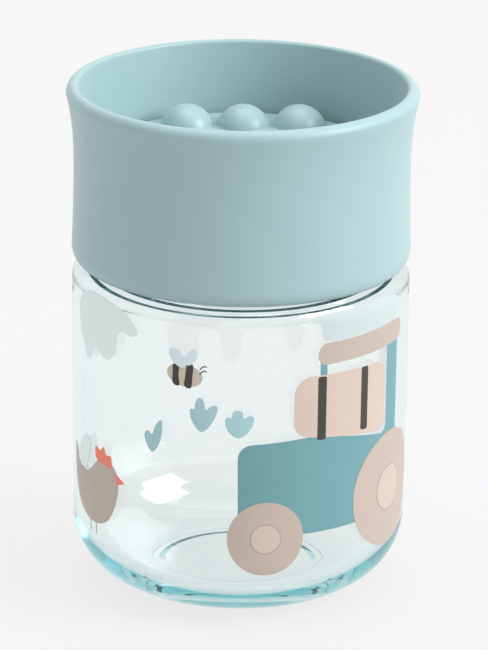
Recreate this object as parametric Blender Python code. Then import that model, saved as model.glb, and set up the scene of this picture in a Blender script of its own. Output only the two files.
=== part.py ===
"""Spill-proof trainer cup: clear tumbler, screw-on drinking collar and push-in valve.

Units are metres. The origin is the centre of the foot on the table, +Z is up, and every
height below is measured from the table. The collar turns and rises on a two-start
right-hand thread, and the valve pulls straight up out of the collar.
"""
import math

import bmesh
import bpy
from mathutils import Matrix

# Resolution of round shapes
SEGMENTS = 48
DOME_SEGMENTS = 16
THREAD_STEP_ANGLE = math.radians(7.5)

# Tumbler, outside
FOOT_INNER_RADIUS = 0.0174
FOOT_OUTER_RADIUS = 0.0190
FOOT_STEP = 0.0003
BODY_LOW_RADIUS = 0.03586
BODY_MID_RADIUS = 0.0361
BODY_TOP_RADIUS = 0.0362
CORNER_HEIGHT = 0.0157
SHOULDER_START = 0.0685
SHOULDER_TOP = 0.0720
SHOULDER_ROUND = SHOULDER_TOP - SHOULDER_START
PUNT_DEPTH = 0.0005
PUNT_RADIUS = 0.0160

# Tumbler, inside
WALL = 0.0024
INNER_FLAT_RADIUS = 0.0184
FLOOR_HEIGHT = 0.0038
FLOOR_CROWN = 0.0004
INNER_SHOULDER_BOTTOM = SHOULDER_TOP - 0.0042
INNER_SHOULDER_TOP = SHOULDER_TOP - 0.0010
STEP_WIDTH = 0.0005
LOWER_STEP_RADIUS = 0.03225
LOWER_STEP_HEIGHT = SHOULDER_TOP - 0.0028
UPPER_STEP_RADIUS = 0.0313
UPPER_STEP_HEIGHT = SHOULDER_TOP - 0.0024

# Tumbler neck
NECK_OUTER_RADIUS = 0.0322
NECK_INNER_RADIUS = 0.0300
NECK_TOP = 0.0869
NECK_CHAMFER = 0.0006

# Drinking collar
COLLAR_BOTTOM = 0.07245
COLLAR_HEM_RADIUS = 0.0340
COLLAR_HEM_TOP = 0.0756
COLLAR_SKIRT_RADIUS = 0.03627
COLLAR_WAIST_RADIUS = 0.03587
COLLAR_WAIST = 0.0930
COLLAR_RIM_RADIUS = 0.0375
COLLAR_RIM_START = 0.1090
COLLAR_BORE_RADIUS = 0.0337
LIP_OUTER_ROUND = 0.00183
LIP_INNER_ROUND = 0.0008
RIM_TOP = COLLAR_RIM_START + LIP_OUTER_ROUND
FLARE_POWER = 2.4
SKIRT_POWER = 1.6
WELL_FOOT_RADIUS = 0.0319
SNAP_BEAD_DEPTH = 0.0004

# Two-start thread between neck and collar
LEAD = 0.0090
STARTS = 2
NECK_RIDGE_START = 0.0768
NECK_RIDGE_SPAN = math.radians(225.0)
NECK_RIDGE_CREST_RADIUS = 0.0333
COLLAR_RIDGE_START_ANGLE = math.radians(45.0)
COLLAR_RIDGE_SPAN = math.radians(195.0)
COLLAR_RIDGE_CREST_RADIUS = 0.03265
RIDGE_ROOT_DEPTH = 0.0007
RIDGE_ROOT_HALF_WIDTH = 0.0011
RIDGE_CREST_HALF_WIDTH = 0.00055
RIDGE_LEAD_IN_STEPS = 3

# Stack under the drinking well, from the neck up, with an assembly gap at each joint face
GAP = 0.0003
GASKET_INNER_RADIUS = 0.0299
GASKET_OUTER_RADIUS = 0.0332
GASKET_THICKNESS = 0.0015
GASKET_BOTTOM = NECK_TOP + GAP
GASKET_TOP = GASKET_BOTTOM + GASKET_THICKNESS
SEAT_BOTTOM = GASKET_TOP + GAP
SEAT_FLANGE_THICKNESS = 0.0021
SEAT_FLANGE_TOP = SEAT_BOTTOM + SEAT_FLANGE_THICKNESS
LEDGE_HEIGHT = SEAT_FLANGE_TOP + GAP

# Valve seat
SEAT_OUTER_RADIUS = 0.0334
SEAT_INNER_RADIUS = 0.0275
SEAT_GROOVE_DEPTH = 0.0004
SEAL_RIB_HEIGHT = 0.0003
SEAL_RIB_INNER_RADIUS = 0.0290
SEAL_RIB_OUTER_RADIUS = 0.0300
HUB_BORE_RADIUS = 0.0047
HUB_OUTER_RADIUS = 0.0072
HUB_BOTTOM = 0.0846
HUB_TOP = SEAT_FLANGE_TOP - 0.0001
SPOKE_COUNT = 3
SPOKE_WIDTH = 0.0040
SPOKE_THICKNESS = 0.0024
SPOKE_TOP = SEAT_FLANGE_TOP - 0.0003

# Silicone membrane
MEMBRANE_BOTTOM = SEAT_FLANGE_TOP + SEAL_RIB_HEIGHT + GAP
MEMBRANE_THICKNESS = 0.0010
MEMBRANE_TOP = MEMBRANE_BOTTOM + MEMBRANE_THICKNESS
MEMBRANE_RADIUS = 0.0308
SLEEVE_INNER_RADIUS = 0.0035
SLEEVE_OUTER_RADIUS = 0.0044
SLEEVE_BOTTOM = 0.0860
MEMBRANE_LIFT = 0.0009

# Valve plate with its stem and the domes that a finger grips
PLATE_BOTTOM = MEMBRANE_TOP + MEMBRANE_LIFT + GAP
PLATE_THICKNESS = 0.0016
PLATE_TOP = PLATE_BOTTOM + PLATE_THICKNESS
PLATE_RADIUS = 0.0315
PLATE_EDGE_ROUND = 0.0005
STEM_RADIUS = 0.0032
STEM_BOTTOM = 0.0834
STEM_TIP_CHAMFER = 0.0008
DOME_RADIUS = 0.0060
DOME_SINK = 0.0015
DOME_SHELL = 0.0014
DOME_SPACING = 0.0122
DOME_ROW_RADIUS = 0.0215
DOME_ROW_SHIFT = -0.00055
DOMES_PER_ROW = 3
DOME_ROWS = 3
FIRST_DOME_ROW_ANGLE = math.radians(91.2)


def clear_scene():
    """Remove whatever objects the open file holds."""
    for obj in list(bpy.data.objects):
        bpy.data.objects.remove(obj, do_unlink=True)


def make_material(name, colour, roughness, alpha=1.0, transmission=0.0):
    """Principled material for one moulded part."""
    material = bpy.data.materials.new(name)
    material.use_nodes = True
    material.diffuse_color = (*colour, alpha)
    shader = material.node_tree.nodes["Principled BSDF"]
    shader.inputs["Base Color"].default_value = (*colour, 1.0)
    shader.inputs["Roughness"].default_value = roughness
    shader.inputs["Metallic"].default_value = 0.0
    shader.inputs["Alpha"].default_value = alpha
    shader.inputs["Transmission Weight"].default_value = transmission
    return material


def add_object(name, mesh, material, height=0.0):
    """Link a mesh as an object whose origin is on the cup's axis at a given height."""
    obj = bpy.data.objects.new(name, mesh)
    obj.location.z = height
    mesh.materials.append(material)
    bpy.context.scene.collection.objects.link(obj)
    return obj


def mesh_from_bmesh(name, bm):
    """Turn a bmesh into a mesh with outward faces and smooth round sides."""
    bmesh.ops.recalc_face_normals(bm, faces=bm.faces)
    mesh = bpy.data.meshes.new(name)
    bm.to_mesh(mesh)
    bm.free()
    mesh.shade_smooth()
    mesh.set_sharp_from_angle(angle=math.radians(35.0))
    return mesh


def arc(centre, radii, start, end, steps):
    """Points of an elliptical arc in the (radius, height) plane, angles in degrees."""
    points = []
    for step in range(steps + 1):
        angle = math.radians(start + (end - start) * step / steps)
        points.append((centre[0] + radii[0] * math.cos(angle), centre[1] + radii[1] * math.sin(angle)))
    return points


def turned_mesh(name, outline, datum=0.0, segments=SEGMENTS, closed=False):
    """Spin a (radius, height) outline about Z; heights are taken from the datum."""
    bm = bmesh.new()
    verts = [bm.verts.new((radius, 0.0, height - datum)) for radius, height in outline]
    edges = [bm.edges.new(pair) for pair in zip(verts, verts[1:])]
    if closed:
        edges.append(bm.edges.new((verts[-1], verts[0])))
    bmesh.ops.spin(
        bm, geom=verts + edges, cent=(0, 0, 0), axis=(0, 0, 1),
        angle=math.tau, steps=segments, use_merge=True,
    )
    bmesh.ops.remove_doubles(bm, verts=bm.verts, dist=0.000001)
    return mesh_from_bmesh(name, bm)


def make_tool(name, mesh, parent):
    """Hidden helper solid that a Boolean reads; it rides on the part it shapes."""
    tool = bpy.data.objects.new(name, mesh)
    tool.parent = parent
    tool.hide_render = True
    tool.display_type = "WIRE"
    bpy.context.scene.collection.objects.link(tool)
    return tool


def add_boolean(target, tool, operation):
    """Exact Boolean between a part and a helper solid."""
    modifier = target.modifiers.new(tool.name, "BOOLEAN")
    modifier.object = tool
    modifier.operation = operation
    modifier.solver = "EXACT"


def helix_mesh(name, start_angle, span, start_height, crest_radius, root_radius):
    """Trapezoid thread ridge along a right-hand helix, fading into the wall at both ends."""
    steps = round(span / THREAD_STEP_ANGLE)
    bm = bmesh.new()
    rings = []
    for step in range(steps + 1):
        turn = span * step / steps
        fade = min(1.0, (step + 0.1) / RIDGE_LEAD_IN_STEPS, (steps - step + 0.1) / RIDGE_LEAD_IN_STEPS)
        crest = root_radius + (crest_radius - root_radius) * fade
        height = start_height + LEAD * turn / math.tau
        section = (
            (root_radius, -RIDGE_ROOT_HALF_WIDTH),
            (crest, -RIDGE_CREST_HALF_WIDTH),
            (crest, RIDGE_CREST_HALF_WIDTH),
            (root_radius, RIDGE_ROOT_HALF_WIDTH),
        )
        cosine = math.cos(start_angle + turn)
        sine = math.sin(start_angle + turn)
        rings.append([bm.verts.new((r * cosine, r * sine, height + dz)) for r, dz in section])
    for ring, following in zip(rings, rings[1:]):
        for side in range(4):
            after = (side + 1) % 4
            bm.faces.new((ring[side], ring[after], following[after], following[side]))
    bm.faces.new(rings[0])
    bm.faces.new(rings[-1])
    return mesh_from_bmesh(name, bm)


def add_thread(part, datum, start_angle, span, start_height, crest_radius, root_radius):
    """Unite one ridge for each thread start with a part."""
    for start in range(STARTS):
        name = f"{part.name}_ridge_{start + 1}"
        angle = start_angle + math.tau * start / STARTS
        mesh = helix_mesh(name, angle, span, start_height - datum, crest_radius, root_radius)
        add_boolean(part, make_tool(name, mesh, part), "UNION")


def cup_outline():
    """Tumbler section from the underside of the base, up the outside and down the inside."""
    shoulder_centre = (BODY_TOP_RADIUS - SHOULDER_ROUND, SHOULDER_START)
    inner_corner = (BODY_LOW_RADIUS - WALL - INNER_FLAT_RADIUS, CORNER_HEIGHT - FLOOR_HEIGHT)
    middle = (CORNER_HEIGHT + SHOULDER_START) / 2
    corner = (BODY_LOW_RADIUS - FOOT_OUTER_RADIUS, CORNER_HEIGHT - FOOT_STEP)
    outline = [(0.0, PUNT_DEPTH), (PUNT_RADIUS, PUNT_DEPTH)]
    outline += [(FOOT_INNER_RADIUS, 0.0), (FOOT_OUTER_RADIUS, 0.0)]
    outline += arc((FOOT_OUTER_RADIUS, CORNER_HEIGHT), corner, -90, 0, 9)
    outline.append((BODY_MID_RADIUS, middle))
    outline += arc(shoulder_centre, (SHOULDER_ROUND, SHOULDER_ROUND), 0, 90, 5)
    outline.append((NECK_OUTER_RADIUS, SHOULDER_TOP))
    outline.append((NECK_OUTER_RADIUS, NECK_TOP - NECK_CHAMFER))
    outline.append((NECK_OUTER_RADIUS - NECK_CHAMFER, NECK_TOP))
    outline.append((NECK_INNER_RADIUS + NECK_CHAMFER, NECK_TOP))
    outline.append((NECK_INNER_RADIUS, NECK_TOP - NECK_CHAMFER))
    outline.append((NECK_INNER_RADIUS, INNER_SHOULDER_TOP))
    outline += [(UPPER_STEP_RADIUS, UPPER_STEP_HEIGHT), (UPPER_STEP_RADIUS + STEP_WIDTH, UPPER_STEP_HEIGHT)]
    outline += [(LOWER_STEP_RADIUS, LOWER_STEP_HEIGHT), (LOWER_STEP_RADIUS + STEP_WIDTH, LOWER_STEP_HEIGHT)]
    outline.append((BODY_TOP_RADIUS - WALL, INNER_SHOULDER_BOTTOM))
    outline.append((BODY_MID_RADIUS - WALL, middle))
    outline += arc((INNER_FLAT_RADIUS, CORNER_HEIGHT), inner_corner, 0, -90, 8)
    outline.append((0.0, FLOOR_HEIGHT + FLOOR_CROWN))
    return outline


def skirt_radius(height):
    """Outer radius of the collar: a narrow waist, a slightly wider hem and a flared rim."""
    if height >= COLLAR_WAIST:
        rise = (height - COLLAR_WAIST) / (COLLAR_RIM_START - COLLAR_WAIST)
        return COLLAR_WAIST_RADIUS + (COLLAR_RIM_RADIUS - COLLAR_WAIST_RADIUS) * rise ** FLARE_POWER
    drop = (COLLAR_WAIST - height) / (COLLAR_WAIST - COLLAR_HEM_TOP)
    return COLLAR_WAIST_RADIUS + (COLLAR_SKIRT_RADIUS - COLLAR_WAIST_RADIUS) * drop ** SKIRT_POWER


def collar_outline():
    """Collar section: rounded hem, flared outside, rounded lip, tapered well and ledge."""
    wall_steps = 10
    outline = arc(
        (COLLAR_HEM_RADIUS, COLLAR_HEM_TOP),
        (COLLAR_SKIRT_RADIUS - COLLAR_HEM_RADIUS, COLLAR_HEM_TOP - COLLAR_BOTTOM), -90, 0, 4,
    )
    for step in range(1, wall_steps):
        height = COLLAR_HEM_TOP + (COLLAR_RIM_START - COLLAR_HEM_TOP) * step / wall_steps
        outline.append((skirt_radius(height), height))
    lip_centre = COLLAR_RIM_RADIUS - LIP_OUTER_ROUND
    outline += arc((lip_centre, COLLAR_RIM_START), (LIP_OUTER_ROUND, LIP_OUTER_ROUND), 0, 90, 4)
    inner_lip = (lip_centre, RIM_TOP - LIP_INNER_ROUND)
    outline += arc(inner_lip, (LIP_INNER_ROUND, LIP_INNER_ROUND), 90, 180, 3)[1:]
    bead_middle = (SEAT_BOTTOM + SEAT_FLANGE_TOP) / 2
    bead_radius = COLLAR_BORE_RADIUS - SNAP_BEAD_DEPTH
    outline += [
        (WELL_FOOT_RADIUS, LEDGE_HEIGHT),
        (COLLAR_BORE_RADIUS, LEDGE_HEIGHT),
        (COLLAR_BORE_RADIUS, bead_middle + 0.0006),
        (bead_radius, bead_middle + 0.0002),
        (bead_radius, bead_middle - 0.0002),
        (COLLAR_BORE_RADIUS, bead_middle - 0.0006),
        (COLLAR_BORE_RADIUS, COLLAR_BOTTOM + 0.0005),
    ]
    return outline


def gasket_outline():
    """Flat ring with softened edges."""
    soft = 0.0004
    return [
        (GASKET_INNER_RADIUS + soft, GASKET_BOTTOM),
        (GASKET_OUTER_RADIUS - soft, GASKET_BOTTOM),
        (GASKET_OUTER_RADIUS, GASKET_BOTTOM + soft),
        (GASKET_OUTER_RADIUS, GASKET_TOP - soft),
        (GASKET_OUTER_RADIUS - soft, GASKET_TOP),
        (GASKET_INNER_RADIUS + soft, GASKET_TOP),
        (GASKET_INNER_RADIUS, GASKET_TOP - soft),
        (GASKET_INNER_RADIUS, GASKET_BOTTOM + soft),
    ]


def seat_outline():
    """Seat flange with the groove for the collar's snap bead and the raised sealing rib."""
    middle = (SEAT_BOTTOM + SEAT_FLANGE_TOP) / 2
    groove_radius = SEAT_OUTER_RADIUS - SEAT_GROOVE_DEPTH
    rib_top = SEAT_FLANGE_TOP + SEAL_RIB_HEIGHT
    return [
        (SEAT_INNER_RADIUS, SEAT_BOTTOM),
        (SEAT_OUTER_RADIUS, SEAT_BOTTOM),
        (SEAT_OUTER_RADIUS, middle - 0.0009),
        (groove_radius, middle - 0.0005),
        (groove_radius, middle + 0.0005),
        (SEAT_OUTER_RADIUS, middle + 0.0009),
        (SEAT_OUTER_RADIUS, SEAT_FLANGE_TOP),
        (SEAL_RIB_OUTER_RADIUS, SEAT_FLANGE_TOP),
        (SEAL_RIB_OUTER_RADIUS, rib_top),
        (SEAL_RIB_INNER_RADIUS, rib_top),
        (SEAL_RIB_INNER_RADIUS, SEAT_FLANGE_TOP),
        (SEAT_INNER_RADIUS, SEAT_FLANGE_TOP),
    ]


def hub_outline():
    """Tube that takes the valve's stem."""
    return [
        (HUB_BORE_RADIUS, HUB_BOTTOM),
        (HUB_OUTER_RADIUS, HUB_BOTTOM),
        (HUB_OUTER_RADIUS, HUB_TOP),
        (HUB_BORE_RADIUS, HUB_TOP),
    ]


def membrane_outline():
    """Thin disc with a sleeve that lines the hub and grips the stem."""
    soft = 0.0003
    return [
        (SLEEVE_INNER_RADIUS, SLEEVE_BOTTOM),
        (SLEEVE_OUTER_RADIUS, SLEEVE_BOTTOM),
        (SLEEVE_OUTER_RADIUS, MEMBRANE_BOTTOM),
        (MEMBRANE_RADIUS - soft, MEMBRANE_BOTTOM),
        (MEMBRANE_RADIUS, MEMBRANE_BOTTOM + soft),
        (MEMBRANE_RADIUS, MEMBRANE_TOP - soft),
        (MEMBRANE_RADIUS - soft, MEMBRANE_TOP),
        (SLEEVE_INNER_RADIUS, MEMBRANE_TOP),
    ]


def plate_outline():
    """Round plate with a softened edge and a plain stem below."""
    edge = PLATE_RADIUS - PLATE_EDGE_ROUND
    return [
        (0.0, PLATE_TOP),
        (edge, PLATE_TOP),
        (PLATE_RADIUS, PLATE_TOP - PLATE_EDGE_ROUND),
        (PLATE_RADIUS, PLATE_BOTTOM + PLATE_EDGE_ROUND),
        (edge, PLATE_BOTTOM),
        (STEM_RADIUS, PLATE_BOTTOM),
        (STEM_RADIUS, STEM_BOTTOM + STEM_TIP_CHAMFER),
        (STEM_RADIUS - STEM_TIP_CHAMFER, STEM_BOTTOM),
        (0.0, STEM_BOTTOM),
    ]


def dome_outline(radius, base):
    """Quarter section of a dome whose centre lies below the plate's face, down to a flat base."""
    centre = PLATE_TOP - DOME_SINK
    base_angle = math.degrees(math.asin((base - centre) / radius))
    return arc((0.0, centre), (radius, radius), 90, base_angle, 4) + [(0.0, base)]


def dome_places():
    """Dome centres: straight rows of three, one row for each third of the plate."""
    places = []
    for row in range(DOME_ROWS):
        angle = FIRST_DOME_ROW_ANGLE + math.tau * row / DOME_ROWS
        for index in range(DOMES_PER_ROW):
            along = (index - (DOMES_PER_ROW - 1) / 2) * DOME_SPACING + DOME_ROW_SHIFT
            places.append(Matrix.Rotation(angle, 4, "Z") @ Matrix.Translation((DOME_ROW_RADIUS, along, 0.0)))
    return places


def make_cup_body():
    """Clear tumbler with its threaded neck."""
    material = make_material("clear_copolyester", (0.82, 0.93, 0.93), 0.05, 0.3, 0.9)
    body = add_object("cup_body", turned_mesh("cup_body", cup_outline()), material)
    root = NECK_OUTER_RADIUS - RIDGE_ROOT_DEPTH
    add_thread(body, 0.0, 0.0, NECK_RIDGE_SPAN, NECK_RIDGE_START, NECK_RIDGE_CREST_RADIUS, root)


def make_drinking_collar():
    """Screw collar with the drinking lip and the internal thread, half a pitch below the neck's."""
    material = make_material("collar_polypropylene", (0.39, 0.53, 0.52), 0.45)
    mesh = turned_mesh("drinking_collar", collar_outline(), COLLAR_BOTTOM, closed=True)
    collar = add_object("drinking_collar", mesh, material, COLLAR_BOTTOM)
    pitch = LEAD / STARTS
    rise = LEAD * COLLAR_RIDGE_START_ANGLE / math.tau
    height = NECK_RIDGE_START + rise - pitch / 2
    root = COLLAR_BORE_RADIUS + RIDGE_ROOT_DEPTH
    add_thread(
        collar, COLLAR_BOTTOM, COLLAR_RIDGE_START_ANGLE, COLLAR_RIDGE_SPAN, height,
        COLLAR_RIDGE_CREST_RADIUS, root,
    )


def make_collar_gasket():
    """Soft ring between the neck and the valve seat."""
    material = make_material("gasket_silicone", (0.80, 0.84, 0.84), 0.55)
    mesh = turned_mesh("collar_gasket", gasket_outline(), GASKET_BOTTOM, closed=True)
    add_object("collar_gasket", mesh, material, GASKET_BOTTOM)


def make_valve_seat():
    """Insert that snaps into the collar: flange, hub and the spokes between the flow windows."""
    material = make_material("seat_polypropylene", (0.39, 0.53, 0.52), 0.45)
    mesh = turned_mesh("valve_seat", seat_outline(), SEAT_BOTTOM, closed=True)
    seat = add_object("valve_seat", mesh, material, SEAT_BOTTOM)
    inner = (HUB_BORE_RADIUS + HUB_OUTER_RADIUS) / 2
    outer = SEAT_INNER_RADIUS + 0.0010
    centre_height = SPOKE_TOP - SPOKE_THICKNESS / 2 - SEAT_BOTTOM
    for index in range(SPOKE_COUNT):
        angle = FIRST_DOME_ROW_ANGLE + math.tau * index / SPOKE_COUNT
        placement = (
            Matrix.Rotation(angle, 4, "Z")
            @ Matrix.Translation(((inner + outer) / 2, 0.0, centre_height))
            @ Matrix.Diagonal((outer - inner, SPOKE_WIDTH, SPOKE_THICKNESS, 1.0))
        )
        bm = bmesh.new()
        bmesh.ops.create_cube(bm, size=1.0, matrix=placement)
        name = f"seat_spoke_{index + 1}"
        add_boolean(seat, make_tool(name, mesh_from_bmesh(name, bm), seat), "UNION")
    hub = turned_mesh("seat_hub", hub_outline(), SEAT_BOTTOM, closed=True)
    add_boolean(seat, make_tool("seat_hub", hub, seat), "UNION")


def make_valve_membrane():
    """Silicone disc whose edge lifts off the sealing rib when someone drinks."""
    material = make_material("membrane_silicone", (0.80, 0.84, 0.84), 0.55)
    mesh = turned_mesh("valve_membrane", membrane_outline(), MEMBRANE_BOTTOM, closed=True)
    add_object("valve_membrane", mesh, material, MEMBRANE_BOTTOM)


def make_valve_plate():
    """Plate over the membrane: stem below, hollow domes above."""
    material = make_material("plate_polypropylene", (0.39, 0.53, 0.52), 0.4)
    mesh = turned_mesh("valve_plate", plate_outline(), PLATE_BOTTOM)
    plate = add_object("valve_plate", mesh, material, PLATE_BOTTOM)
    inside_face = PLATE_TOP - PLATE_THICKNESS / 2
    below_face = PLATE_BOTTOM - 0.0002
    solid = turned_mesh("dome", dome_outline(DOME_RADIUS, inside_face), PLATE_BOTTOM, DOME_SEGMENTS)
    hollow = turned_mesh(
        "dome_hollow", dome_outline(DOME_RADIUS - DOME_SHELL, below_face), PLATE_BOTTOM, DOME_SEGMENTS
    )
    for index, place in enumerate(dome_places()):
        for kind, tool_mesh, operation in (("dome", solid, "UNION"), ("dome_hollow", hollow, "DIFFERENCE")):
            tool = make_tool(f"{kind}_{index + 1}", tool_mesh, plate)
            tool.matrix_local = place
            add_boolean(plate, tool, operation)


def main():
    """Build the whole cup."""
    clear_scene()
    make_cup_body()
    make_drinking_collar()
    make_collar_gasket()
    make_valve_seat()
    make_valve_membrane()
    make_valve_plate()


main()
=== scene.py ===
import math

import bmesh
import bpy
import numpy as np
from mathutils import Matrix, Vector


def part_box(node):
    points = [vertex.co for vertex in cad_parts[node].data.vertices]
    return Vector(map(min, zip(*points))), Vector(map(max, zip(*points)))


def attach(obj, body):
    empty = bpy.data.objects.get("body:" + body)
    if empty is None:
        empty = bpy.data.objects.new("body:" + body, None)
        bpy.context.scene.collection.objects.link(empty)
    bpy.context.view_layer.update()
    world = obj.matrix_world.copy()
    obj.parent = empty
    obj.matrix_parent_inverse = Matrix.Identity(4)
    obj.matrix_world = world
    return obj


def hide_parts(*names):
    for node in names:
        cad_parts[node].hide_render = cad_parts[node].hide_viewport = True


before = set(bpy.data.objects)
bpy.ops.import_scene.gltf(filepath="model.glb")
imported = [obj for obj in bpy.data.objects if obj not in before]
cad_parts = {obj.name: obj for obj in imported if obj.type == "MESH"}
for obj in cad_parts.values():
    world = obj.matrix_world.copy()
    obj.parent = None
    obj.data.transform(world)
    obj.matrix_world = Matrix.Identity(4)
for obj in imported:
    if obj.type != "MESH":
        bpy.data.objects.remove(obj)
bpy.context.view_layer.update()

# Everything below is in millimetres until a mesh is made; angles of the printed wall run from
# the front (-Y) towards +X.
MM = 0.001


def node_limits(node):
    """Outer radius, lowest and highest point of a round CAD node, in millimetres."""
    low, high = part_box(node)
    return high.x / MM, low.z / MM, high.z / MM


BODY_RADIUS, _, NECK_TOP = node_limits("cup_body")
RIM_RADIUS, COLLAR_BOTTOM, RIM_TOP = node_limits("drinking_collar")
GASKET_RADIUS, GASKET_BOTTOM, GASKET_TOP = node_limits("collar_gasket")
SEAT_RADIUS, HUB_BOTTOM, SEAT_TOP = node_limits("valve_seat")
MEMBRANE_RADIUS, SLEEVE_BOTTOM, MEMBRANE_TOP = node_limits("valve_membrane")
PLATE_RADIUS, STEM_BOTTOM, _ = node_limits("valve_plate")

# Tumbler
FOOT_RADIUS = 19.0
CORNER_HEIGHT = 15.7
LOW_RADIUS = BODY_RADIUS - 0.34
SHOULDER_ROUND = 3.5
SHOULDER_START = 68.5
SHOULDER_TOP = SHOULDER_START + SHOULDER_ROUND
WALL = 2.4
NECK_RADIUS = 32.2
NECK_BORE = 30.0
NECK_FILLET = 0.35
NECK_LIP_ROUND = 0.6
SHOULDER_LEDGES = ((31.3, 69.6), (31.85, 69.6), (32.25, 69.2), (32.75, 69.2))
INNER_ROUND_HEIGHT = 66.5
PUNT_DEPTH = 0.5
PUNT_RADIUS = 16.0
FOOT_INNER_RADIUS = 17.4
FOOT_STEP = 0.3
INNER_FLAT_RADIUS = 18.4
FLOOR_HEIGHT = 3.8
FLOOR_CROWN = 0.4

# Drinking collar
WAIST_RADIUS = 35.87
WAIST_HEIGHT = 93.0
SKIRT_RADIUS = 36.27
HEM_RADIUS = 34.0
HEM_TOP = 75.6
RIM_START = 109.0
COLLAR_BORE = 33.7
BORE_TOP = 84.0
SNAP_BEAD_DEPTH = 0.4
WELL_FOOT_RADIUS = 31.9
LIP_OUTER_ROUND = RIM_TOP - RIM_START
LIP_INNER_ROUND = 0.8

# Two-start thread
LEAD = 9.0
STARTS = 2
NECK_RIDGE_START = 76.8
NECK_RIDGE_SPAN = math.radians(225.0)
NECK_RIDGE_DEPTH = 1.1
COLLAR_RIDGE_ANGLE = math.radians(45.0)
COLLAR_RIDGE_SPAN = math.radians(195.0)
COLLAR_RIDGE_DEPTH = 1.05
RIDGE_CREST = 0.5
RIDGE_FOOT = 1.05

# Valve stack
GASKET_INNER = 29.9
SEAT_BOTTOM = GASKET_TOP + 0.3
SEAT_FLANGE_TOP = SEAT_BOTTOM + 2.1
SEAT_INNER = 27.5
HUB_BORE = 4.7
HUB_RADIUS = 7.2
MEMBRANE_BOTTOM = MEMBRANE_TOP - 1.0
SLEEVE_BORE = 3.5
SLEEVE_RADIUS = 4.4
PLATE_THICKNESS = 1.6
PLATE_BOTTOM = MEMBRANE_TOP + 1.2
PLATE_TOP = PLATE_BOTTOM + PLATE_THICKNESS
STEM_RADIUS = 3.2
DOME_RADIUS = 6.0
DOME_SINK = 1.5
DOME_FILLET = 0.35
DOME_SHELL = 1.4
DOME_SPACING = 12.2
DOME_ROW_RADIUS = 21.5
DOME_ROW_SHIFT = -0.55
DOME_ROW_ANGLE = math.radians(91.2)
GATE_OFFSET = 1.6

SEGMENTS = 192
SHARP_ANGLE = 38.0


# ---------------------------------------------------------------- sections and turned meshes

def arc(centre, radii, start, end, steps):
    """Points along an elliptical arc, angles in degrees."""
    angles = [math.radians(start + (end - start) * step / steps) for step in range(steps + 1)]
    return [(centre[0] + radii[0] * math.cos(a), centre[1] + radii[1] * math.sin(a)) for a in angles]


def rounded(corners, steps=6, loop=False):
    """Chain of corners (x, y, rounding) with each rounding drawn as a true arc."""
    points = []
    count = len(corners)
    for index, corner in enumerate(corners):
        here = Vector(corner[:2])
        size = corner[2] if len(corner) > 2 else 0.0
        if size == 0 or (not loop and index in (0, count - 1)):
            points.append(tuple(here))
            continue
        before = (Vector(corners[index - 1][:2]) - here).normalized()
        after = (Vector(corners[(index + 1) % count][:2]) - here).normalized()
        half = before.angle(after) / 2
        centre = here + (before + after).normalized() * size / math.sin(half)
        first = here + before * size / math.tan(half) - centre
        last = here + after * size / math.tan(half) - centre
        turn = first.angle_signed(last)
        for step in range(steps + 1):
            a = -turn * step / steps
            rotated = Vector((
                first.x * math.cos(a) - first.y * math.sin(a),
                first.x * math.sin(a) + first.y * math.cos(a),
            ))
            points.append(tuple(centre + rotated))
    return points


def link(name, mesh):
    """Add a mesh to the scene as a piece."""
    obj = bpy.data.objects.new(name, mesh)
    bpy.context.scene.collection.objects.link(obj)
    return obj


def finish_mesh(name, bm, sharp=SHARP_ANGLE):
    """Outward faces, smooth shading, sharp only at real edges."""
    bmesh.ops.recalc_face_normals(bm, faces=bm.faces)
    mesh = bpy.data.meshes.new(name)
    bm.to_mesh(mesh)
    bm.free()
    mesh.shade_smooth()
    mesh.set_sharp_from_angle(angle=math.radians(sharp))
    return mesh


def turned(name, outline, loop=True, swell=None, segments=SEGMENTS):
    """Turn a (radius, height) section about Z; swell(angle, radius, height) changes a radius."""
    bm = bmesh.new()
    rings = []
    for radius, height in outline:
        if radius < 1e-6:
            rings.append([bm.verts.new((0.0, 0.0, height * MM))])
            continue
        ring = []
        for index in range(segments):
            angle = math.tau * index / segments
            r = radius + (swell(angle, radius, height) if swell else 0.0)
            ring.append(bm.verts.new((r * math.cos(angle) * MM, r * math.sin(angle) * MM, height * MM)))
        rings.append(ring)
    pairs = list(zip(rings, rings[1:]))
    if loop:
        pairs.append((rings[-1], rings[0]))
    for lower, upper in pairs:
        if len(lower) == 1 and len(upper) == 1:
            continue
        for index in range(segments):
            after = (index + 1) % segments
            if len(lower) == 1:
                bm.faces.new((lower[0], upper[index], upper[after]))
            elif len(upper) == 1:
                bm.faces.new((lower[index], upper[0], lower[after]))
            else:
                bm.faces.new((lower[index], lower[after], upper[after], upper[index]))
    return finish_mesh(name, bm)


def smooth(value):
    """Smooth step from 0 to 1."""
    value = min(1.0, max(0.0, value))
    return value * value * (3.0 - 2.0 * value)


def ridge(angle, height, first_angle, span, first_height):
    """Height of a two-start thread ridge at a point of a round wall, 0 to 1."""
    best = 0.0
    for start in range(STARTS):
        turn = (angle - first_angle - math.tau * start / STARTS) % math.tau
        if turn > span:
            continue
        offset = abs(height - first_height - LEAD * turn / math.tau)
        flank = smooth((RIDGE_FOOT - offset) / (RIDGE_FOOT - RIDGE_CREST))
        fade = smooth(turn / 0.3) * smooth((span - turn) / 0.3)
        best = max(best, flank * fade)
    return best


# ---------------------------------------------------------------- tumbler

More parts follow.
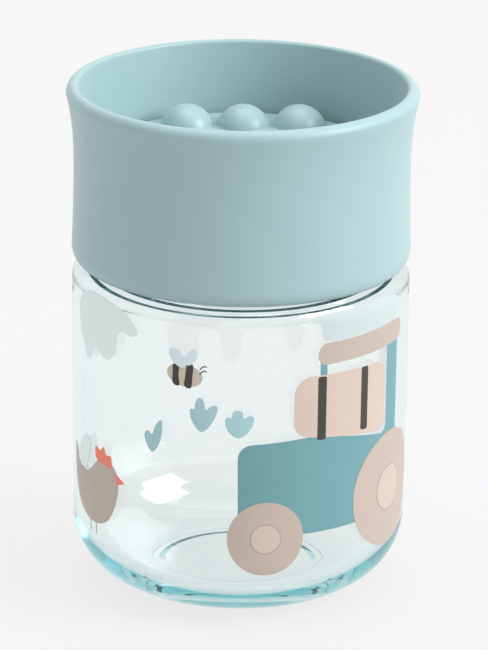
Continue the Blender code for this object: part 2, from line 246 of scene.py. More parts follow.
def body_radius(height):
    """Outer radius of the tumbler's wall below the shoulder."""
    if height < CORNER_HEIGHT:
        drop = min(1.0, (CORNER_HEIGHT - height) / (CORNER_HEIGHT - FOOT_STEP))
        return FOOT_RADIUS + (LOW_RADIUS - FOOT_RADIUS) * math.sqrt(max(0.0, 1.0 - drop * drop))
    if height > SHOULDER_START:
        rise = min(1.0, (height - SHOULDER_START) / SHOULDER_ROUND)
        return BODY_RADIUS - SHOULDER_ROUND * (1.0 - math.sqrt(1.0 - rise * rise))
    share = (height - CORNER_HEIGHT) / (SHOULDER_START - CORNER_HEIGHT)
    return LOW_RADIUS + (BODY_RADIUS - LOW_RADIUS) * (1.5 * share - 0.5 * share * share)


def inner_shoulder():
    """Inside of the shoulder from the neck's bore out to the wall: a stepped slope with two narrow ledges."""
    wall = body_radius(INNER_ROUND_HEIGHT) - WALL
    corners = [(NECK_BORE, SHOULDER_TOP + 0.6), (NECK_BORE, SHOULDER_TOP - 1.0, 1.4)]
    corners += [(inner, height, 0.15) for inner, height in SHOULDER_LEDGES]
    corners += [(wall, SHOULDER_TOP - 4.2, 1.0), (wall, INNER_ROUND_HEIGHT)]
    return rounded(corners, steps=8)


def cup_section():
    """Tumbler section: recessed foot, rounded corner, wall, shoulder, neck, inside and floor."""
    section = rounded([
        (0, PUNT_DEPTH), (PUNT_RADIUS, PUNT_DEPTH, 0.7), (FOOT_INNER_RADIUS, 0.0, 0.3),
        (FOOT_RADIUS, 0.0, 0.15), (FOOT_RADIUS, FOOT_STEP),
    ])
    corner = (LOW_RADIUS - FOOT_RADIUS, CORNER_HEIGHT - FOOT_STEP)
    section += arc((FOOT_RADIUS, CORNER_HEIGHT), corner, -90, 0, 40)[1:]
    section += [(body_radius(z), z) for z in np.linspace(CORNER_HEIGHT, SHOULDER_START, 14)[1:-1]]
    shoulder = (BODY_RADIUS - SHOULDER_ROUND, SHOULDER_START)
    section += arc(shoulder, (SHOULDER_ROUND, SHOULDER_ROUND), 0, 90, 16)
    fillet = NECK_FILLET
    section += arc((NECK_RADIUS + fillet, SHOULDER_TOP + fillet), (fillet, fillet), -90, -180, 4)
    section += [(NECK_RADIUS, z) for z in np.arange(SHOULDER_TOP + 0.6, NECK_TOP - 0.7, 0.25)]
    lip = NECK_LIP_ROUND
    section += arc((NECK_RADIUS - lip, NECK_TOP - lip), (lip, lip), 0, 90, 6)
    section += arc((NECK_BORE + lip, NECK_TOP - lip), (lip, lip), 90, 180, 6)
    section += inner_shoulder()
    wall_heights = np.linspace(INNER_ROUND_HEIGHT, CORNER_HEIGHT, 14)[1:-1]
    section += [(body_radius(z) - WALL, z) for z in wall_heights]
    corner = (LOW_RADIUS - WALL - INNER_FLAT_RADIUS, CORNER_HEIGHT - FLOOR_HEIGHT)
    section += arc((INNER_FLAT_RADIUS, CORNER_HEIGHT), corner, 0, -90, 40)
    for radius in (12.0, 6.0, 0.0):
        crown = FLOOR_CROWN * (1 - (radius / INNER_FLAT_RADIUS) ** 2)
        section.append((radius, FLOOR_HEIGHT + crown))
    return section


def make_tumbler(material):
    """Clear body with the ridges of its neck raised from the wall."""

    def swell(angle, radius, height):
        if abs(radius - NECK_RADIUS) > 0.01 or height < SHOULDER_TOP + 0.5:
            return 0.0
        return NECK_RIDGE_DEPTH * ridge(angle, height, 0.0, NECK_RIDGE_SPAN, NECK_RIDGE_START)

    body = link("tumbler", turned("tumbler", cup_section(), loop=False, swell=swell))
    body.data.materials.append(material)
    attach(body, "cup")
    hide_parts("cup_body")


# ---------------------------------------------------------------- collar and valve

def skirt_radius(height):
    """Outer radius of the collar between its hem and its rim."""
    if height >= WAIST_HEIGHT:
        rise = (height - WAIST_HEIGHT) / (RIM_START - WAIST_HEIGHT)
        return WAIST_RADIUS + (RIM_RADIUS - WAIST_RADIUS) * rise ** 2.4
    drop = (WAIST_HEIGHT - height) / (WAIST_HEIGHT - HEM_TOP)
    return WAIST_RADIUS + (SKIRT_RADIUS - WAIST_RADIUS) * drop ** 1.6


def collar_section():
    """Collar section: hem, flared outside, rounded lip, tapered well, ledge and bore."""
    hem = (SKIRT_RADIUS - HEM_RADIUS, HEM_TOP - COLLAR_BOTTOM)
    section = arc((HEM_RADIUS, HEM_TOP), hem, -90, 0, 12)
    section += [(skirt_radius(z), z) for z in np.linspace(HEM_TOP, RIM_START, 32)[1:-1]]
    lip_centre = RIM_RADIUS - LIP_OUTER_ROUND
    section += arc((lip_centre, RIM_START), (LIP_OUTER_ROUND, LIP_OUTER_ROUND), 0, 90, 12)
    inner_lip = (lip_centre, RIM_TOP - LIP_INNER_ROUND)
    section += arc(inner_lip, (LIP_INNER_ROUND, LIP_INNER_ROUND), 90, 175, 8)[1:]
    ledge = SEAT_FLANGE_TOP + 0.3
    section += rounded([
        section[-1], (WELL_FOOT_RADIUS, ledge, 0.25), (COLLAR_BORE, ledge, 0.25), (COLLAR_BORE, ledge - 1.0),
    ], steps=4)[1:]
    bead = (SEAT_BOTTOM + SEAT_FLANGE_TOP) / 2
    crest = COLLAR_BORE - SNAP_BEAD_DEPTH
    section += [(COLLAR_BORE, bead + 0.6), (crest, bead + 0.15)]
    section += [(crest, bead - 0.15), (COLLAR_BORE, bead - 0.6)]
    section += [(COLLAR_BORE, z) for z in np.arange(BORE_TOP, COLLAR_BOTTOM + 0.7, -0.25)]
    return section


def make_collar(material):
    """Drinking collar with its inner thread half a pitch under the neck's."""
    first = NECK_RIDGE_START + LEAD * COLLAR_RIDGE_ANGLE / math.tau - LEAD / STARTS / 2

    def swell(angle, radius, height):
        if abs(radius - COLLAR_BORE) > 0.01 or height > BORE_TOP + 0.5:
            return 0.0
        return -COLLAR_RIDGE_DEPTH * ridge(angle, height, COLLAR_RIDGE_ANGLE, COLLAR_RIDGE_SPAN, first)

    collar = link("collar", turned("collar", collar_section(), swell=swell, segments=256))
    collar.data.materials.append(material)
    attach(collar, "collar")
    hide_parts("drinking_collar")


def make_gasket(material):
    """Silicone ring with two soft sealing beads on each side."""
    middle = (GASKET_BOTTOM + GASKET_TOP) / 2
    half = (GASKET_TOP - GASKET_BOTTOM) / 2
    edge = 0.4
    steps = 24
    top = []
    for step in range(steps + 1):
        share = step / steps
        radius = GASKET_RADIUS - edge - (GASKET_RADIUS - GASKET_INNER - 2 * edge) * share
        top.append((radius, middle + half - 0.18 * math.sin(math.tau * share) ** 2))
    outer_side = arc((GASKET_RADIUS - edge, middle), (edge, half), -80, 80, 8)
    inner_side = arc((GASKET_INNER + edge, middle), (edge, half), 100, 260, 8)
    bottom = [(r, 2 * middle - z) for r, z in reversed(top)]
    ring = link("gasket", turned("gasket", outer_side + top + inner_side + bottom, segments=128))
    ring.data.materials.append(material)
    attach(ring, "seal_ring")
    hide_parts("collar_gasket")


def unite(target, tools):
    """Boolean union of helper meshes into a piece, applied."""
    for tool in tools:
        modifier = target.modifiers.new(tool.name, "BOOLEAN")
        modifier.operation = "UNION"
        modifier.solver = "EXACT"
        modifier.object = tool
    bpy.context.view_layer.update()
    evaluated = target.evaluated_get(bpy.context.evaluated_depsgraph_get())
    mesh = bpy.data.meshes.new_from_object(evaluated)
    target.modifiers.clear()
    target.data = mesh
    mesh.shade_smooth()
    mesh.set_sharp_from_angle(angle=math.radians(SHARP_ANGLE))
    for tool in tools:
        bpy.data.objects.remove(tool)


def make_seat(material):
    """Snap-in seat: grooved flange with its sealing rib, three spokes and the hub."""
    middle = (SEAT_BOTTOM + SEAT_FLANGE_TOP) / 2
    flange = rounded([
        (SEAT_INNER, SEAT_BOTTOM, 0.3), (SEAT_RADIUS, SEAT_BOTTOM, 0.3), (SEAT_RADIUS, middle - 0.9),
        (SEAT_RADIUS - 0.4, middle - 0.5), (SEAT_RADIUS - 0.4, middle + 0.5), (SEAT_RADIUS, middle + 0.9),
        (SEAT_RADIUS, SEAT_FLANGE_TOP, 0.2), (30.1, SEAT_FLANGE_TOP), (30.0, SEAT_TOP, 0.1),
        (29.0, SEAT_TOP, 0.1), (28.9, SEAT_FLANGE_TOP), (SEAT_INNER, SEAT_FLANGE_TOP, 0.3),
    ], steps=4, loop=True)
    hub_top = SEAT_FLANGE_TOP - 0.1
    tube = rounded([
        (HUB_BORE, HUB_BOTTOM, 0.3), (HUB_RADIUS, HUB_BOTTOM, 0.6), (HUB_RADIUS, hub_top, 0.4),
        (HUB_BORE, hub_top, 0.4),
    ], steps=4, loop=True)
    seat = link("seat", turned("seat", flange, segments=144))
    hub = link("seat_hub", turned("seat_hub", tube, segments=72))
    tools = [hub]
    inner = (HUB_BORE + HUB_RADIUS) / 2
    outer = SEAT_INNER + 1.0
    height = SEAT_FLANGE_TOP - 0.3 - 1.2
    for index in range(3):
        bm = bmesh.new()
        place = (
            Matrix.Rotation(DOME_ROW_ANGLE + math.tau * index / 3, 4, "Z")
            @ Matrix.Translation(((inner + outer) / 2 * MM, 0, height * MM))
            @ Matrix.Diagonal(((outer - inner) * MM, 4.0 * MM, 2.4 * MM, 1.0))
        )
        bmesh.ops.create_cube(bm, size=1.0, matrix=place)
        bmesh.ops.bevel(bm, geom=bm.edges, offset=0.4 * MM, segments=3, profile=0.5, affect="EDGES")
        tools.append(link(f"spoke_{index}", finish_mesh("spoke", bm)))
    unite(seat, tools)
    seat.data.materials.append(material)
    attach(seat, "collar")
    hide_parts("valve_seat")


def make_membrane(material):
    """Silicone disc with a thickened edge and the sleeve that lines the hub."""
    web_top = MEMBRANE_TOP - 0.25
    section = rounded([
        (SLEEVE_BORE, SLEEVE_BOTTOM, 0.2), (SLEEVE_RADIUS, SLEEVE_BOTTOM, 0.3),
        (SLEEVE_RADIUS, MEMBRANE_BOTTOM, 0.3), (MEMBRANE_RADIUS, MEMBRANE_BOTTOM, 0.35),
        (MEMBRANE_RADIUS, MEMBRANE_TOP, 0.45), (MEMBRANE_RADIUS - 1.4, MEMBRANE_TOP, 0.3),
        (MEMBRANE_RADIUS - 1.9, web_top, 0.3), (SLEEVE_BORE, web_top, 0.2),
    ], steps=5, loop=True)
    disc = link("membrane", turned("membrane", section, segments=160))
    disc.data.materials.append(material)
    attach(disc, "membrane")
    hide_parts("valve_membrane")


def circle_loop(bm, centre, radius, height, segments):
    """Ring of vertices in millimetres."""
    return [
        bm.verts.new((
            (centre.x + radius * math.cos(math.tau * i / segments)) * MM,
            (centre.y + radius * math.sin(math.tau * i / segments)) * MM,
            height * MM,
        ))
        for i in range(segments)
    ]


def bridge(bm, lower, upper):
    """Quads between two rings of the same size."""
    count = len(lower)
    for i in range(count):
        j = (i + 1) % count
        bm.faces.new((lower[i], lower[j], upper[j], upper[i]))


def dome_centres():
    """Centres of the nine domes, in rows of three."""
    centres = []
    for row in range(3):
        turn = Matrix.Rotation(DOME_ROW_ANGLE + math.tau * row / 3, 2)
        for index in (-1, 0, 1):
            centres.append(turn @ Vector((DOME_ROW_RADIUS, index * DOME_SPACING + DOME_ROW_SHIFT)))
    return centres


def dome_section(radius, face, fillet, steps=18):
    """Section of a dome from the fillet on the face up to the top."""
    centre = PLATE_TOP - DOME_SINK
    reach = math.sqrt((radius + fillet) ** 2 - (face + fillet - centre) ** 2)
    tilt = math.degrees(math.atan2(face + fillet - centre, reach))
    foot = arc((reach, face + fillet), (fillet, fillet), -90, -180 + tilt, 6)
    return foot + arc((0.0, centre), (radius, radius), tilt, 90, steps)[1:]


def gate_mark(distance):
    """Moulding mark near the top of one dome: a wide shallow dimple with a small nub in it."""
    dish = -0.07 * (1.0 - smooth((distance - 0.5) / 1.6))
    nub = 0.24 * (1.0 - smooth((distance - 0.2) / 0.4))
    return dish + nub


def make_plate(material):
    """Valve plate: one closed mesh with nine hollow domes, a soft edge and the stem."""
    bm = bmesh.new()
    segments = 64
    edge = 0.5
    origin = Vector((0.0, 0.0))
    rim = rounded([
        (PLATE_RADIUS - edge, PLATE_TOP), (PLATE_RADIUS, PLATE_TOP, edge * 0.98),
        (PLATE_RADIUS, PLATE_BOTTOM, edge * 0.98), (PLATE_RADIUS - edge, PLATE_BOTTOM),
    ], steps=6)
    rim_rings = [circle_loop(bm, origin, r, z, SEGMENTS) for r, z in rim]
    for lower, upper in zip(rim_rings, rim_rings[1:]):
        bridge(bm, lower, upper)
    stem = rounded([
        (STEM_RADIUS + 0.6, PLATE_BOTTOM), (STEM_RADIUS, PLATE_BOTTOM, 0.55), (STEM_RADIUS, STEM_BOTTOM, 0.8),
        (0.0, STEM_BOTTOM),
    ], steps=6)
    stem_rings = [circle_loop(bm, origin, r, z, segments) for r, z in stem[:-1]]
    for lower, upper in zip(stem_rings, stem_rings[1:]):
        bridge(bm, lower, upper)
    bm.faces.new(stem_rings[-1])
    face_loops = {PLATE_TOP: [rim_rings[0]], PLATE_BOTTOM: [rim_rings[-1], stem_rings[0]]}
    for index, centre in enumerate(dome_centres()):
        marked = index == 1
        gate = centre + Vector((0.0, -GATE_OFFSET))
        outside = dome_section(DOME_RADIUS, PLATE_TOP, DOME_FILLET, 48 if marked else 18)
        inside = dome_section(DOME_RADIUS - DOME_SHELL, PLATE_BOTTOM, 0.3)
        for section, face in ((outside, PLATE_TOP), (inside, PLATE_BOTTOM)):
            rings = [circle_loop(bm, centre, radius, height, segments) for radius, height in section[:-1]]
            pole = bm.verts.new((centre.x * MM, centre.y * MM, section[-1][1] * MM))
            for lower, upper in zip(rings, rings[1:]):
                bridge(bm, lower, upper)
            for i in range(segments):
                bm.faces.new((rings[-1][i], rings[-1][(i + 1) % segments], pole))
            if marked and face == PLATE_TOP:
                for vert in [pole, *(v for ring in rings[12:] for v in ring)]:
                    vert.co.z += gate_mark((vert.co.xy / MM - gate).length) * MM
            face_loops[face].append(rings[0])
    for loops in face_loops.values():
        edges = []
        for ring in loops:
            for i, vert in enumerate(ring):
                after = ring[(i + 1) % len(ring)]
                edges.append(bm.edges.get((vert, after)))
        bmesh.ops.triangle_fill(bm, edges=edges, use_beauty=True)
    plate = link("valve_top", finish_mesh("valve_top", bm))
    plate.data.materials.append(material)
    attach(plate, "valve")
    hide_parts("valve_plate")


# ---------------------------------------------------------------- prints

PRINT_LIFT = 0.02
PRINT_LAYER = 0.03
PRINT_THICKNESS = 0.05
PATCH_SIZE = 1.5


def resampled(polygon, step=0.6):
    """The same closed polygon with no side longer than step."""
    points = []
    for index, start in enumerate(polygon):
        end = polygon[(index + 1) % len(polygon)]
        length = math.dist(start, end)
        count = max(1, math.ceil(length / step))
        points += [
            (start[0] + (end[0] - start[0]) * k / count, start[1] + (end[1] - start[1]) * k / count)
            for k in range(count)
        ]
    return points


def wall_point(across, height, lift):
    """A point on the tumbler's outside: across is the arc from the front line in millimetres."""
    angle = across / BODY_RADIUS - math.pi / 2
    radius = body_radius(height)
    slope = body_radius(height + 0.05) - body_radius(height - 0.05)
    tilt = math.atan2(0.1, slope)
    outward = lift * math.sin(tilt)
    rise = -lift * math.cos(tilt)
    radius += outward
    return Vector((radius * math.cos(angle), radius * math.sin(angle), height + rise)) * MM


def printed(name, material, shapes, level=0):
    """A printed area of thin closed patches that follow the wall; each shape is an outline and its holes."""
    bm = bmesh.new()
    for outline, *holes in shapes:
        flat = bmesh.new()
        edges = []
        for ring in [outline, *holes]:
            verts = [flat.verts.new((x, y, 0.0)) for x, y in resampled(ring)]
            for i, vert in enumerate(verts):
                edges.append(flat.edges.new((vert, verts[(i + 1) % len(verts)])))
        bmesh.ops.triangle_fill(flat, edges=edges, use_beauty=True, normal=(0, 0, 1))
        for axis in (0, 1):
            values = [v.co[axis] for v in flat.verts]
            low, high = min(values), max(values)
            for cut in np.arange(math.ceil(low / PATCH_SIZE) * PATCH_SIZE, high, PATCH_SIZE):
                position = Vector((0, 0, 0))
                direction = Vector((0, 0, 0))
                position[axis] = cut
                direction[axis] = 1.0
                geometry = flat.verts[:] + flat.edges[:] + flat.faces[:]
                bmesh.ops.bisect_plane(flat, geom=geometry, plane_co=position, plane_no=direction, dist=1e-5)
        flat.normal_update()
        for face in flat.faces:
            if face.normal.z < 0:
                face.normal_flip()
        bottom = PRINT_LIFT + level * PRINT_LAYER
        low_verts = {v: bm.verts.new(wall_point(v.co.x, v.co.y, bottom)) for v in flat.verts}
        top = bottom + PRINT_THICKNESS
        high_verts = {v: bm.verts.new(wall_point(v.co.x, v.co.y, top)) for v in flat.verts}
        for face in flat.faces:
            bm.faces.new([high_verts[v] for v in face.verts])
            bm.faces.new([low_verts[v] for v in reversed(face.verts)])
        for edge in flat.edges:
            if len(edge.link_faces) == 1:
                face = edge.link_faces[0]
                loop = next(item for item in face.loops if item.edge == edge)
                a, b = loop.vert, loop.link_loop_next.vert
                bm.faces.new((low_verts[a], low_verts[b], high_verts[b], high_verts[a]))
        flat.free()
    patch = link(name, finish_mesh(name, bm))
    patch.data.materials.append(material)
    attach(patch, "cup")
    return patch


def oval(x, y, width, height, turn=0.0, count=48):
    """An ellipse outline; width and height are half sizes."""
    c, s = math.cos(math.radians(turn)), math.sin(math.radians(turn))
    points = []
    for i in range(count):
        a = math.tau * i / count
        u, v = width * math.cos(a), height * math.sin(a)
        points.append((x + u * c - v * s, y + u * s + v * c))
    return points


def spline(points, steps=8):
    """Smooth closed curve through the points."""
    count = len(points)
    curve = []
    for i in range(count):
        p0, p1, p2, p3 = (np.array(points[(i + k) % count], float) for k in (-1, 0, 1, 2))
        for k in range(steps):
            t = k / steps
            value = 0.5 * (
                2 * p1 + (p2 - p0) * t + (2 * p0 - 5 * p1 + 4 * p2 - p3) * t * t
                + (3 * p1 - p0 - 3 * p2 + p3) * t ** 3
            )
            curve.append((float(value[0]), float(value[1])))
    return curve


def around(degrees):
    """Arc length in millimetres of an angle from the front line."""
    return math.radians(degrees) * BODY_RADIUS


def box_outline(corners, steps=6):
    """Rounded polygon from (angle in degrees, height, rounding) corners."""
    return rounded([(around(a), z, r) for a, z, r in corners], steps=steps, loop=True)


def sprig(x, y, outline):
    """A leaf with rounded lobes; the outline's points are (across, up) from its foot."""
    return spline([(x + across, y + up) for across, up in outline], 6)


def tractor(materials):
    """A plain toy tractor with a bale on board."""
    teal, clay, line = (materials[key] for key in ("teal", "clay", "line"))
    body = box_outline([
        (0.0, 21.8, 0.6), (42.8, 21.8, 0.0), (67.0, 25.0, 0.8), (66.7, 60.0, 0.3), (59.4, 60.0, 0.3),
        (59.6, 39.4, 1.8), (27.3, 43.6, 0.8), (-0.4, 42.4, 3.2),
    ])
    post = box_outline([(27.8, 43.0, 0.0), (30.4, 43.0, 0.0), (30.4, 60.0, 0.0), (27.8, 60.0, 0.0)])
    printed("print_tractor", teal, [[body], [post]])
    roof = box_outline([(26.6, 59.0, 2.0), (69.4, 59.2, 2.0), (69.4, 63.9, 1.6), (27.4, 63.8, 2.2)])
    printed("print_roof", materials["roof"], [[roof]], level=1)
    haze = [(26.4, 70.0), (45.0, 70.1), (64.0, 69.6), (66.0, 66.5), (63.0, 64.2), (45.0, 64.2), (30.5, 64.2)]
    haze += [(28.5, 66.2), (27.8, 67.8)]
    printed("print_haze", materials["haze"], [[spline([(around(a), z) for a, z in haze])]])
    bale = box_outline([(18.5, 43.9, 3.4), (57.6, 40.6, 2.4), (57.6, 56.4, 3.0), (18.5, 57.0, 4.0)])
    printed("print_bale", materials["beige"], [[bale]], level=1)
    straps = [
        [box_outline([(a, 42.6, 0.5), (a + 3.2, 42.4, 0.5), (a + 3.2, 56.5, 0.5), (a, 56.6, 0.5)])]
        for a in (27.0, 45.0)
    ]
    printed("print_straps", materials["dark"], straps, level=2)
    for name, x, y, radius, hub in (("front", 9.4, 21.4, 8.25, 3.2), ("rear", 62.8, 26.5, 12.9, 4.9)):
        centre = around(x)
        printed("print_tyre_" + name, clay, [[oval(centre, y, radius, radius, count=72)]], level=2)
        ring = [oval(centre, y, hub + 0.12, hub + 0.12), oval(centre, y, hub, hub)]
        printed("print_hub_line_" + name, line, [ring], level=3)
        printed("print_hub_" + name, materials["beige"], [[oval(centre, y, hub, hub)]], level=3)


def insect(materials):
    """A small striped insect."""
    x, y = around(-18.5), 57.4
    printed("print_insect", materials["straw"], [[oval(x, y, 3.95, 2.5, -9)]])
    stripes = []
    for offset, half, lean in ((-1.85, 2.1, -0.1), (0.75, 2.4, 0.4)):
        stripes.append([spline([
            (x + offset - 0.75, y - half + 0.1), (x + offset + 0.65, y - half - 0.25),
            (x + offset + 0.6 + lean, y), (x + offset + 0.7 + lean, y + half - 0.1),
            (x + offset - 0.55 + lean, y + half + 0.1), (x + offset - 0.75 + lean * 0.5, y),
        ])])
    printed("print_stripes", materials["dark"], stripes, level=1)
    wings = [[oval(x - 1.55, y + 3.65, 2.5, 1.35, 132)], [oval(x + 1.35, y + 4.0, 1.95, 1.15, 58)]]
    printed("print_wings", materials["wing"], wings, level=2)
    feelers = []
    for lift in (0.0, 1.0):
        bow = [(x + 3.3 + dx, y + 0.7 + lift + 0.75 * math.sin(dx * 1.5)) for dx in (0.0, 0.4, 0.8, 1.2, 1.5)]
        feelers.append([spline(bow + [(u + 0.1, v - 0.24) for u, v in reversed(bow)], 4)])
    printed("print_feelers", materials["dark"], feelers, level=1)


def leaves(materials):
    """Three small leaves in a row, one with two lobes and two with three."""
    pair = [
        (0.0, 0.0), (-1.3, 1.8), (-1.7, 3.7), (-0.9, 4.6), (0.2, 3.9), (1.0, 6.0), (2.2, 7.4), (2.6, 6.4),
        (2.3, 3.2), (1.2, 0.8),
    ]
    tall = [
        (0.0, 0.0), (-1.5, 1.6), (-2.3, 3.5), (-2.2, 4.9), (-1.3, 5.0), (-1.1, 6.6), (-0.3, 7.5), (0.7, 6.8),
        (1.1, 5.0), (2.4, 5.9), (3.6, 5.7), (3.2, 3.6), (1.7, 1.0),
    ]
    low = [
        (0.0, 0.0), (-1.8, 1.3), (-2.6, 3.4), (-2.2, 4.5), (-1.2, 4.5), (-0.9, 5.7), (0.1, 6.1), (1.1, 5.7),
        (1.4, 4.4), (2.5, 4.9), (3.5, 4.5), (3.2, 2.7), (1.9, 0.8),
    ]
    places = ((-30.6, 39.2, pair), (-12.9, 45.2, tall), (-0.6, 44.2, low))
    shapes = [[sprig(around(angle), z, outline)] for angle, z, outline in places]
    printed("print_leaves", materials["leaf"], shapes)


def bird(materials):
    """A plain round bird with no face."""
    x, y = around(-60.0), 26.2
    body = spline([
        (x - 9.6, y + 7.2), (x - 6.2, y + 3.0), (x - 1.6, y + 3.4), (x + 3.6, y + 7.6), (x + 8.2, y + 6.6),
        (x + 9.4, y + 1.4), (x + 6.4, y - 5.6), (x + 0.4, y - 7.8), (x - 6.2, y - 5.4), (x - 9.6, y + 0.4),
    ])
    printed("print_bird", materials["bird"], [[body]])
    wing = spline([
        (x - 7.4, y + 4.4), (x - 3.2, y + 3.4), (x - 0.8, y + 8.6), (x - 2.2, y + 11.4), (x - 5.6, y + 8.6),
    ])
    printed("print_bird_wing", materials["pale"], [[wing]], level=1)
    crest = spline([
        (x + 1.8, y + 7.2), (x + 1.6, y + 9.8), (x + 3.4, y + 9.3), (x + 4.6, y + 10.4), (x + 5.6, y + 8.9),
        (x + 7.2, y + 8.9), (x + 7.2, y + 6.4), (x + 4.6, y + 6.6),
    ])
    beak = [(x + 8.7, y + 5.6), (x + 11.4, y + 3.9), (x + 9.0, y + 3.0)]
    printed("print_bird_crest", materials["coral"], [[crest], [beak]], level=1)
    legs = [[oval(x + dx, y - 8.6, 0.16, 1.7, 4, 16)] for dx in (-0.8, 1.6)]
    printed("print_bird_legs", materials["clay"], legs, level=1)


def cloud(materials):
    """A pale cloud that hangs from the shoulder, with a lobed lower edge."""
    top = [(-70, 66.0), (-64, 69.6), (-56, 70.2), (-48, 69.6), (-42, 68.6)]
    lobes = [(-38.5, 66.8), (-36.4, 64.6), (-38.5, 63.6), (-43, 64.0), (-45.5, 62.6), (-46.5, 59.0)]
    lobes += [(-50, 56.6), (-54, 57.2), (-57.5, 58.4), (-60.5, 55.6), (-63.5, 55.2), (-66, 58.0), (-69, 61.0)]
    outline = spline([(around(a), z) for a, z in top + lobes])
    printed("print_cloud", materials["pale"], [[outline]])


# ---------------------------------------------------------------- materials

def linear(red, green, blue):
    """Scene colour of an 8-bit screen colour."""
    def channel(value):
        value /= 255.0
        return value / 12.92 if value <= 0.04045 else ((value + 0.055) / 1.055) ** 2.4
    return (channel(red), channel(green), channel(blue), 1.0)


class Shader:
    """Small helper that builds a Principled material's nodes in object space."""

    def __init__(self, name, **values):
        self.material = bpy.data.materials.new(name)
        self.material.use_nodes = True
        self.tree = self.material.node_tree
        self.bsdf = self.tree.nodes["Principled BSDF"]
        self.output = self.tree.nodes["Material Output"]
        coordinates = self.tree.nodes.new("ShaderNodeTexCoord")
        self.place = coordinates.outputs["Object"]
        for key, value in values.items():
            self.bsdf.inputs[key.replace("_", " ")].default_value = value

    def node(self, kind, **inputs):
        made = self.tree.nodes.new(kind)
        for key, value in inputs.items():
            socket = made.inputs[key.replace("_", " ")]
            if isinstance(value, bpy.types.NodeSocket):
                self.tree.links.new(value, socket)
            else:
                socket.default_value = value
        return made

    def noise(self, scale, detail=4.0, roughness=0.5):
        return self.node(
            "ShaderNodeTexNoise", Vector=self.place, Scale=scale, Detail=detail, Roughness=roughness,
        )

    def spread(self, value, low, high, start=0.3, end=0.7):
        made = self.node("ShaderNodeMapRange", Value=value)
        for key, number in (("From Min", start), ("From Max", end), ("To Min", low), ("To Max", high)):
            made.inputs[key].default_value = number
        return made.outputs["Result"]

    def drive(self, socket, value):
        self.tree.links.new(value, self.bsdf.inputs[socket])

    def tint(self, value, first, second):
        ramp = self.node("ShaderNodeMix")
        ramp.data_type = "RGBA"
        self.tree.links.new(value, ramp.inputs["Factor"])
        ramp.inputs["A"].default_value = first
        ramp.inputs["B"].default_value = second
        self.tree.links.new(ramp.outputs["Result"], self.bsdf.inputs["Base Color"])

    def bump(self, height, distance, strength=1.0):
        made = self.node("ShaderNodeBump", Height=height, Strength=strength, Distance=distance)
        self.tree.links.new(made.outputs["Normal"], self.bsdf.inputs["Normal"])


def shade(colour, factor):
    """The same colour a little darker or lighter."""
    return (colour[0] * factor, colour[1] * factor, colour[2] * factor, 1.0)


def satin_plastic(name, colour, roughness):
    """Moulded satin polypropylene: fine spark texture, faint flow shading and light handling marks."""
    shader = Shader(name, Specular_IOR_Level=0.6, Sheen_Weight=0.22, Sheen_Roughness=0.45)
    flow = shader.noise(14.0, 3.0)
    shader.tint(shader.spread(flow.outputs["Fac"], 0.0, 1.0), shade(colour, 0.975), shade(colour, 1.02))
    marks = shader.noise(160.0, 6.0, 0.6)
    shader.drive("Roughness", shader.spread(marks.outputs["Fac"], roughness - 0.05, roughness + 0.06))
    grain = shader.noise(2600.0, 3.0, 0.6)
    shader.bump(grain.outputs["Fac"], 0.00002, 0.5)
    shader.bsdf.inputs["Subsurface Weight"].default_value = 0.12
    shader.bsdf.inputs["Subsurface Radius"].default_value = (0.0012, 0.0016, 0.0017)
    return shader.material


def clear_plastic():
    """Clear copolyester with a faint blue-green body colour, seen where the wall is thick."""
    shader = Shader(
        "clear_copolyester", Base_Color=(1.0, 0.993, 0.985, 1.0), Transmission_Weight=1.0, IOR=1.54,
        Specular_IOR_Level=0.5,
    )
    marks = shader.noise(90.0, 5.0, 0.6)
    shader.drive("Roughness", shader.spread(marks.outputs["Fac"], 0.0, 0.02, 0.45, 0.8))
    flow = shader.noise(22.0, 2.0)
    shader.bump(flow.outputs["Fac"], 0.0001, 0.25)
    absorb = shader.tree.nodes.new("ShaderNodeVolumeAbsorption")
    absorb.inputs["Color"].default_value = (0.10, 0.74, 0.79, 1.0)
    absorb.inputs["Density"].default_value = 26.0
    shader.tree.links.new(absorb.outputs["Volume"], shader.output.inputs["Volume"])
    return shader.material


def silicone(name, colour):
    """Milky silicone rubber with a dusty sheen."""
    shader = Shader(name, Transmission_Weight=0.25, IOR=1.41, Sheen_Weight=0.15, Sheen_Roughness=0.5)
    flow = shader.noise(60.0, 4.0)
    shader.tint(flow.outputs["Fac"], shade(colour, 0.95), shade(colour, 1.03))
    shader.drive("Roughness", shader.spread(shader.noise(220.0, 4.0).outputs["Fac"], 0.42, 0.58))
    shader.bump(shader.noise(1500.0, 3.0).outputs["Fac"], 0.00002, 0.4)
    return shader.material


def ink(name, colour):
    """Screen-printed ink: nearly flat colour, satin, with a slight pinhole grain."""
    shader = Shader(name, Specular_IOR_Level=0.4)
    flow = shader.noise(70.0, 3.0)
    shader.tint(shader.spread(flow.outputs["Fac"], 0.0, 1.0), shade(colour, 0.975), shade(colour, 1.015))
    shader.drive("Roughness", shader.spread(shader.noise(400.0, 4.0).outputs["Fac"], 0.36, 0.48))
    shader.bump(shader.noise(1800.0, 3.0).outputs["Fac"], 0.00001, 0.4)
    return shader.material


def print_inks():
    """The print's inks by name."""
    colours = {
        "teal": (104, 150, 157), "beige": (198, 180, 168), "clay": (184, 168, 158), "dark": (58, 56, 54),
        "pale": (228, 242, 240), "leaf": (162, 198, 203), "coral": (238, 128, 104), "bird": (184, 172, 160),
        "line": (150, 130, 122), "roof": (178, 165, 155), "haze": (186, 198, 198), "straw": (198, 186, 168),
        "wing": (214, 228, 234),
    }
    return {name: ink("ink_" + name, linear(*colour)) for name, colour in colours.items()}


# ---------------------------------------------------------------- stage

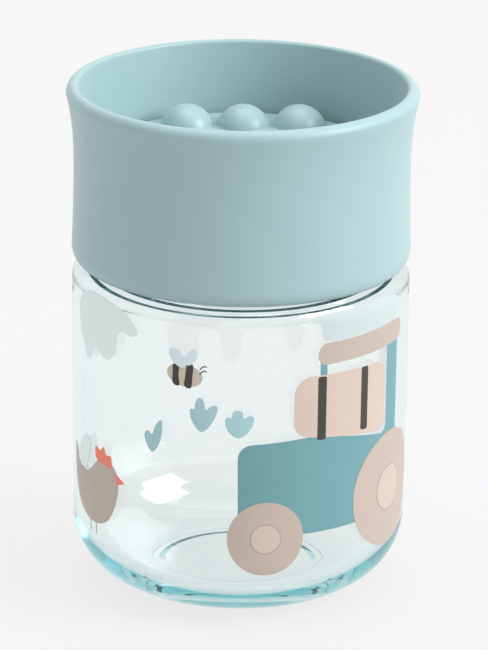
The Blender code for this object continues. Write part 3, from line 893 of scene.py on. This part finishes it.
CAMERA_PLACE = Vector((0.0, -0.9325, 0.3743))
CAMERA_AIM = Vector((0.0008, 0.0, 0.0569))
CAMERA_ROLL = math.radians(0.708)
LENS = 253.4
SENSOR_WIDTH = 36.0

# Light is reflected many times inside the thick clear base and the neck.
LIGHT_BOUNCES = 48


def add_light(name, place, aim, size, power):
    """A square soft box aimed at a point."""
    data = bpy.data.lights.new(name, "AREA")
    data.shape = "RECTANGLE"
    data.size, data.size_y = size
    data.energy = power
    light = link(name, data)
    light.location = place
    light.rotation_euler = (Vector(aim) - Vector(place)).to_track_quat("-Z", "Y").to_euler()
    return light


def make_floor():
    """Pale, softly glowing floor that curves up behind into the backdrop."""
    bm = bmesh.new()
    bend, reach = 0.9, 1.2
    profile = [(-2.5, 0.0), (reach, 0.0)]
    for a in np.linspace(0, math.pi / 2, 16)[1:]:
        profile.append((reach + bend * math.sin(a), bend - bend * math.cos(a)))
    profile.append((reach + bend, 3.5))
    rows = []
    for y, z in profile:
        rows.append([bm.verts.new((x, y, z)) for x in (-3.0, 3.0)])
    for lower, upper in zip(rows, rows[1:]):
        bm.faces.new((lower[0], lower[1], upper[1], upper[0]))
    floor = link("floor", finish_mesh("floor", bm, 180.0))
    shader = Shader(
        "floor_paper", Base_Color=(0.1, 0.1, 0.1, 1.0), Specular_IOR_Level=0.1,
        Emission_Color=(1.0, 1.0, 1.0, 1.0), Emission_Strength=0.78,
    )
    shader.drive("Roughness", shader.spread(shader.noise(30.0).outputs["Fac"], 0.85, 0.95))
    floor.data.materials.append(shader.material)


def make_stage():
    """Floor, world, lights and camera."""
    make_floor()
    scene = bpy.context.scene
    scene.view_settings.view_transform = "Standard"
    world = bpy.data.worlds.new("studio")
    world.use_nodes = True
    background = world.node_tree.nodes["Background"]
    background.inputs["Color"].default_value = (1.0, 1.0, 1.0, 1.0)
    background.inputs["Strength"].default_value = 0.66
    scene.world = world
    add_light("key", (1.05, -0.36, 0.78), (0.0, 0.0, 0.07), (0.7, 0.7), 15.0)
    add_light("top", (0.05, 0.1, 1.25), (0.0, 0.0, 0.08), (1.0, 1.0), 7.0)

    data = bpy.data.cameras.new("camera")
    data.lens = LENS
    data.sensor_width = SENSOR_WIDTH
    data.clip_start = 0.05
    data.clip_end = 20.0
    camera = link("camera", data)
    look = (CAMERA_AIM - CAMERA_PLACE).normalized()
    side = look.cross(Vector((0, 0, 1))).normalized()
    top = side.cross(look)
    right = side * math.cos(CAMERA_ROLL) + top * math.sin(CAMERA_ROLL)
    up = top * math.cos(CAMERA_ROLL) - side * math.sin(CAMERA_ROLL)
    camera.matrix_world = Matrix((
        (right.x, up.x, -look.x, CAMERA_PLACE.x),
        (right.y, up.y, -look.y, CAMERA_PLACE.y),
        (right.z, up.z, -look.z, CAMERA_PLACE.z),
        (0.0, 0.0, 0.0, 1.0),
    ))
    scene.camera = camera
    scene.cycles.max_bounces = LIGHT_BOUNCES
    scene.cycles.transmission_bounces = LIGHT_BOUNCES
    scene.cycles.glossy_bounces = LIGHT_BOUNCES


def main():
    """The cup's six pieces, its print and the stage."""
    grey_teal = linear(151, 181, 184)
    collar_plastic = satin_plastic("collar_polypropylene", grey_teal, 0.46)
    valve_plastic = satin_plastic("valve_polypropylene", grey_teal, 0.36)
    rubber = silicone("silicone_rubber", linear(214, 228, 228))
    make_tumbler(clear_plastic())
    make_collar(collar_plastic)
    make_seat(valve_plastic)
    make_gasket(rubber)
    make_membrane(rubber)
    make_plate(valve_plastic)
    inks = print_inks()
    tractor(inks)
    insect(inks)
    leaves(inks)
    bird(inks)
    cloud(inks)
    make_stage()


main()
